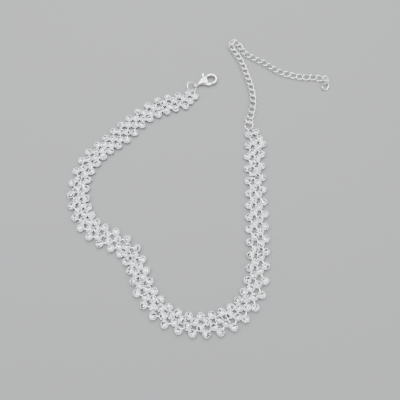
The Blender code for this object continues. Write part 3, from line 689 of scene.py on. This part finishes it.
# %% [markdown]
# ## The lobster clasp
# The clasp is cast: a body that swells from the eye to the hook's root, a hook of soft square section and
# an eye that stands askew. It could be shaped from a box with bevels, but its outline has few straight
# edges. So the body is a loft, an oval section whose two edges and thickness follow curves along the
# clasp. A slot is cut through it for the lever, whose rivet sits in a round well beside a small dimple.

# %% Clasp sizes and place
HOOK_OUTER, HOOK_WIRE, HOOK_THICKNESS = 3.5 * MM, 1.25 * MM, 1.7 * MM
BODY_THICKNESS, BODY_LIFT, LEVER_THICKNESS, GAP = 2.7 * MM, 0.02 * MM, 0.9 * MM, 0.3 * MM
PIN_DIAMETER, EYE_OUTER, EYE_WIRE = 0.8 * MM, 3.2 * MM, 0.7 * MM
EYE_TILT, EYE_MIDDLE, CLASP_HEADING = math.radians(-32), 1.05 * MM, math.radians(23.3)
PIVOT = np.array([-1.11, 0.09]) * HOOK_OUTER
CLASP_MIDDLE = BODY_LIFT + BODY_THICKNESS / 2
EYE_RADIUS = (EYE_OUTER - EYE_WIRE) / 2
eye_centre = np.array([-2.35 * HOOK_OUTER - EYE_RADIUS + EYE_WIRE / 4, 0.0, EYE_MIDDLE])
clasp_place = (clasp_ring + direction(CLASP_EYE_HEADING) * ring_radius(CLASP_RING_OUTER)
               - direction(CLASP_HEADING) * eye_centre[0])


def on_clasp(shape):
    """A shape in the clasp's own frame, X along it and Y across, moved to where the clasp lies."""
    return turned(shape[0], CLASP_HEADING, clasp_place), shape[1], shape[2]


# %% Clasp body
# Along the clasp, far edge and near edge in hook radii, and half thickness and middle height (mm)
BODY_LOFT = np.array([
    (-2.42, 0.12, -0.12, 0.30, 1.10), (-2.32, 0.21, -0.21, 0.52, 1.15), (-2.00, 0.32, -0.24, 0.85, 1.28),
    (-1.60, 0.55, -0.31, 1.20, 1.37), (-1.26, 0.73, -0.49, 1.35, 1.37), (-0.97, 0.84, -0.60, 1.35, 1.37),
    (-0.78, 0.88, -0.56, 1.30, 1.37), (-0.70, 0.90, -0.38, 1.25, 1.37), (-0.65, 0.905, 0.20, 1.15, 1.37),
    (-0.56, 0.91, 0.44, 1.05, 1.37), (-0.45, 0.91, 0.53, 0.95, 1.37), (-0.34, 0.90, 0.58, 0.86, 1.37),
])
BODY_SQUARENESS, HOOK_SQUARENESS = 3.8, 2.8
# The well round the rivet and a dimple left by the casting: place in hook radii, radius and floor height (mm)
WELLS = np.array([(-1.11, 0.09, 0.80, 2.38), (-1.57, 0.16, 0.30, 2.35)])
# Outline of the lever's slot in hook radii
SLOT_OUTLINE = np.array([
    (-0.71, 1.30), (-1.80, 1.30), (-1.76, 0.70), (-1.53, 0.09), (-1.46, -0.30), (-1.34, -1.20),
    (-0.50, -1.20), (-0.50, 0.38), (-0.71, 0.45),
])


def body_loft(around=28, along=60):
    """Section at x: middle + half width * c(v) across and half thickness * s(v) up, a superellipse."""
    at = np.concatenate([[0], np.cumsum(np.linalg.norm(np.diff(BODY_LOFT[:, :3], axis=0), axis=1))])
    x, far, near, half, middle = smooth_route(at, BODY_LOFT, np.linspace(0, at[-1], along)).T
    c, s = oval(around, BODY_SQUARENESS)
    points = np.empty((along, around, 3))
    points[:, :, 0] = x[:, None] * HOOK_OUTER
    points[:, :, 1] = ((far + near)[:, None] / 2 + (far - near)[:, None] / 2 * c) * HOOK_OUTER
    points[:, :, 2] = (middle[:, None] + half[:, None] * s) * MM
    return grid(points)


def prism(outline, low, high):
    """A flat outline (anticlockwise) between two heights."""
    levels = np.array([low, high])
    points = np.empty((2, len(outline), 3))
    points[:, :, :2] = outline[None]
    points[:, :, 2] = levels[:, None]
    return grid(points)


def loose_object(name, shape):
    """A bare mesh object from a shape, for a Boolean cut."""
    points, corners, sizes = shape
    faces = np.split(corners, np.cumsum(sizes)[:-1])
    mesh = bpy.data.meshes.new(name)
    mesh.from_pydata(points.tolist(), [], [face.tolist() for face in faces])
    made = bpy.data.objects.new(name, mesh)
    bpy.context.scene.collection.objects.link(made)
    return made


def cut_from(name, shape, cutters):
    """A shape after Boolean cuts, read back as arrays."""
    target = loose_object(name, shape)
    tools = [loose_object(name + "_tool", cutter) for cutter in cutters]
    for tool in tools:
        step = target.modifiers.new(tool.name, "BOOLEAN")
        step.operation, step.solver, step.object = "DIFFERENCE", "EXACT", tool
    result = bpy.data.meshes.new_from_object(target.evaluated_get(bpy.context.evaluated_depsgraph_get()))
    points = np.empty(len(result.vertices) * 3)
    result.vertices.foreach_get("co", points)
    corners = np.empty(len(result.loops), dtype=int)
    result.loops.foreach_get("vertex_index", corners)
    sizes = np.empty(len(result.polygons), dtype=int)
    result.polygons.foreach_get("loop_total", sizes)
    for spent in (target, *tools):
        bpy.data.objects.remove(spent, do_unlink=True)
    return points.reshape(-1, 3), corners, sizes


# %% Clasp hook and eye
HOOK_START, HOOK_END, NOSE_REACH = math.radians(132), math.radians(-105), 1.30 * HOOK_OUTER
HOOK_TIP_ROUNDING, HOOK_TIP_FLAT = 0.3 * MM, 0.93


def hook_shape(along=56, sides=16):
    """Arc of a circle whose oval section keeps its size and rounds off at its free end."""
    turns = np.linspace(HOOK_START, HOOK_END, along)
    path = direction(turns) * (HOOK_OUTER - HOOK_WIRE / 2) + (0, 0, CLASP_MIDDLE)
    to_end = (turns - HOOK_END) * (HOOK_OUTER - HOOK_WIRE / 2) / HOOK_TIP_ROUNDING
    rounding = np.sqrt(1 - np.clip(1 - to_end, 0, HOOK_TIP_FLAT) ** 2)
    radii = np.array([HOOK_WIRE, HOOK_THICKNESS]) / 2 * rounding[:, None]
    return wire(path, radii, sides, closed=False, squareness=HOOK_SQUARENESS)


def gate_swing():
    """Wedge about the rivet that the gate's tip swings through: the rivet, then an arc."""
    arc = PIVOT + direction(np.radians(np.linspace(-75, -20, 24)))[:, :2] * NOSE_REACH
    return prism(np.vstack([PIVOT, arc]), 0.0, BODY_THICKNESS)


def eye_shape(around=36, sides=12):
    """Circle of round wire turned by the eye's tilt about the clasp's length."""
    turns = (np.arange(around) * 2 * math.pi / around)[:, None]
    along, across = np.array([1.0, 0, 0]), np.array([0, math.cos(EYE_TILT), math.sin(EYE_TILT)])
    path = eye_centre + EYE_RADIUS * (np.cos(turns) * along + np.sin(turns) * across)
    return wire(path, EYE_WIRE / 2, sides)


# %% Assembled clasp
# Radius and height up the rivet's head (mm)
RIVET = np.array([(0.55, 2.30), (0.55, 2.62), (0.46, 2.70), (0.24, 2.74)])
slot_half = LEVER_THICKNESS / 2 + GAP
pin_half = slot_half + GAP
around_pin = direction(np.arange(16) * math.pi / 8)
slot = prism(SLOT_OUTLINE * HOOK_OUTER, CLASP_MIDDLE - slot_half, CLASP_MIDDLE + slot_half)
wells = []
for x, y, radius, floor in WELLS:
    rim = np.array([x, y]) * HOOK_OUTER + around_pin[:, :2] * radius * MM
    wells.append(prism(rim, floor * MM, 2 * BODY_THICKNESS))
body = cut_from("clasp_body", body_loft(), [slot, *wells])
hook = cut_from("clasp_hook", hook_shape(), [gate_swing()])
pin_outline = PIVOT + around_pin[:, :2] * PIN_DIAMETER / 2
pin = prism(pin_outline, CLASP_MIDDLE - pin_half, CLASP_MIDDLE + pin_half)
head = around_pin[None] * RIVET[:, 0, None, None] * MM
head[:, :, :2] += PIVOT
head[:, :, 2] = RIVET[:, 1, None] * MM
cast = on_clasp(joined([body, hook, eye_shape(), pin, grid(head)]))
piece("lobster_clasp_body", cast, CLASP_SILVER, "clasp_body")

# %% [markdown]
# ## The clasp's lever
# The lever turns on the rivet: its gate closes the hook and its nub is pushed by a thumb. It could be an
# extruded outline with a Bevel modifier; here a smooth closed curve is drawn through its corners and set
# in a little at top and bottom, so that the edges stay even where the outline bends sharply. The lever
# rides on its own body, because it is the one part with a joint.

# %% Clasp lever
# Corners of the lever in hook radii, anticlockwise from the root of its nub
LEVER_OUTLINE = np.array([
    (-0.87, 0.29), (-0.84, 0.97), (-0.67, 1.43), (-0.79, 1.53), (-0.93, 1.46), (-1.11, 0.91), (-1.34, 0.29),
    (-1.43, 0.09), (-1.34, -0.23), (-1.17, -0.63), (-0.91, -0.86), (-0.60, -0.97), (-0.36, -0.85),
    (-0.16, -0.64), (-0.54, -0.60), (-0.77, -0.43), (-0.81, -0.14), (-0.79, 0.09),
])
LEVER_ROUNDING = 0.18 * MM


def closed_curve(outline, count):
    """Smooth closed curve through an outline's points, evenly spaced."""
    wrapped = np.vstack([outline[-3:], outline, outline[:3]])
    at = np.concatenate([[0], np.cumsum(np.linalg.norm(np.diff(wrapped, axis=0), axis=1))])
    return smooth_route(at, wrapped, np.linspace(at[3], at[len(outline) + 3], count, endpoint=False))


def rounded_plate(outline, low, high, rounding):
    """Outline set in by rounding * (1 - sin) while its height runs from each face to the edge by 1 - cos."""
    tangent = unit(np.roll(outline, -1, axis=0) - np.roll(outline, 1, axis=0))
    inward = np.column_stack([-tangent[:, 1], tangent[:, 0]])
    quarter = np.radians([0, 30, 60, 90])
    inset = np.concatenate([1 - np.sin(quarter), 1 - np.sin(quarter[::-1])]) * rounding
    rise = (1 - np.cos(quarter)) * rounding
    height = np.concatenate([low + rise, high - rise[::-1]])
    points = np.empty((len(height), len(outline), 3))
    points[:, :, :2] = outline[None] + inward[None] * inset[:, None, None]
    points[:, :, 2] = height[:, None]
    return grid(points)


lever_half = LEVER_THICKNESS / 2
lever_curve = closed_curve(LEVER_OUTLINE * HOOK_OUTER, 90)
lever_blank = rounded_plate(lever_curve, CLASP_MIDDLE - lever_half, CLASP_MIDDLE + lever_half, LEVER_ROUNDING)
pin_hole = prism(PIVOT + around_pin[:, :2] * (PIN_DIAMETER / 2 + GAP), 0.0, BODY_THICKNESS)
lever = cut_from("lever", lever_blank, [pin_hole])
piece("lobster_clasp_lever", on_clasp(lever), CLASP_SILVER, "clasp_lever", body="clasp_lever")

# %% [markdown]
# ## Table, light and camera
# The choker lies on a plain pale table under soft studio light: a large lamp over it and two smaller ones
# that give the stones their glints. A picture of a studio could light it, but lamps need no other file
# and are easy to move. The camera looks down at the photograph's angle.

# %% Pale table
def pale_table():
    """A wide plain plate whose top is the surface that the choker lies on."""
    side = 1.5
    corners = [(-side, -side, 0), (side, -side, 0), (side, side, 0), (-side, side, 0)]
    mesh = bpy.data.meshes.new("table")
    mesh.from_pydata(corners, [], [(0, 1, 2, 3)])
    made = bpy.data.objects.new("table", mesh)
    bpy.context.scene.collection.objects.link(made)
    finish = bpy.data.materials.new("pale_table")
    finish.use_nodes = True
    shader = finish.node_tree.nodes["Principled BSDF"]
    shader.inputs["Base Color"].default_value = (0.205, 0.206, 0.208, 1)
    shader.inputs["Roughness"].default_value = 0.7
    mesh.materials.append(finish)
    print("table", 2 * side, "m wide")


pale_table()


# %% Lamps
def lamp(name, place, aim, size, power):
    """A square soft lamp at a place, turned towards a point."""
    data = bpy.data.lights.new(name, "AREA")
    data.shape, data.size, data.energy = "SQUARE", size, power
    made = bpy.data.objects.new(name, data)
    bpy.context.scene.collection.objects.link(made)
    made.location = place
    made.rotation_euler = (Vector(aim) - Vector(place)).to_track_quat("-Z", "Y").to_euler()


lamp("overhead", (0.0, 0.25, 0.62), (0, 0, 0), 0.80, 12.0)
lamp("left", (-0.50, -0.10, 0.42), (0, 0, 0), 0.12, 1.6)
lamp("right", (0.48, -0.25, 0.40), (0, 0, 0), 0.12, 1.3)
world = bpy.data.worlds.new("studio")
world.use_nodes = True
background = world.node_tree.nodes["Background"]
background.inputs["Color"].default_value = (0.80, 0.82, 0.85, 1)
background.inputs["Strength"].default_value = 1.2
bpy.context.scene.world = world
print("lamps", [light.name for light in bpy.data.lights])

# %% Camera
CAMERA_ELEVATION = 68
camera_data = bpy.data.cameras.new("camera")
camera_data.sensor_width, camera_data.lens = 36.0, 40.95
camera_data.clip_start = 0.01
camera = bpy.data.objects.new("camera", camera_data)
bpy.context.scene.collection.objects.link(camera)
camera.location = (-0.002680, -0.10175, 0.21093)
camera.rotation_euler = (math.radians(90 - CAMERA_ELEVATION), 0, 0)
bpy.context.scene.camera = camera
print("camera looks down at", CAMERA_ELEVATION, "degrees")
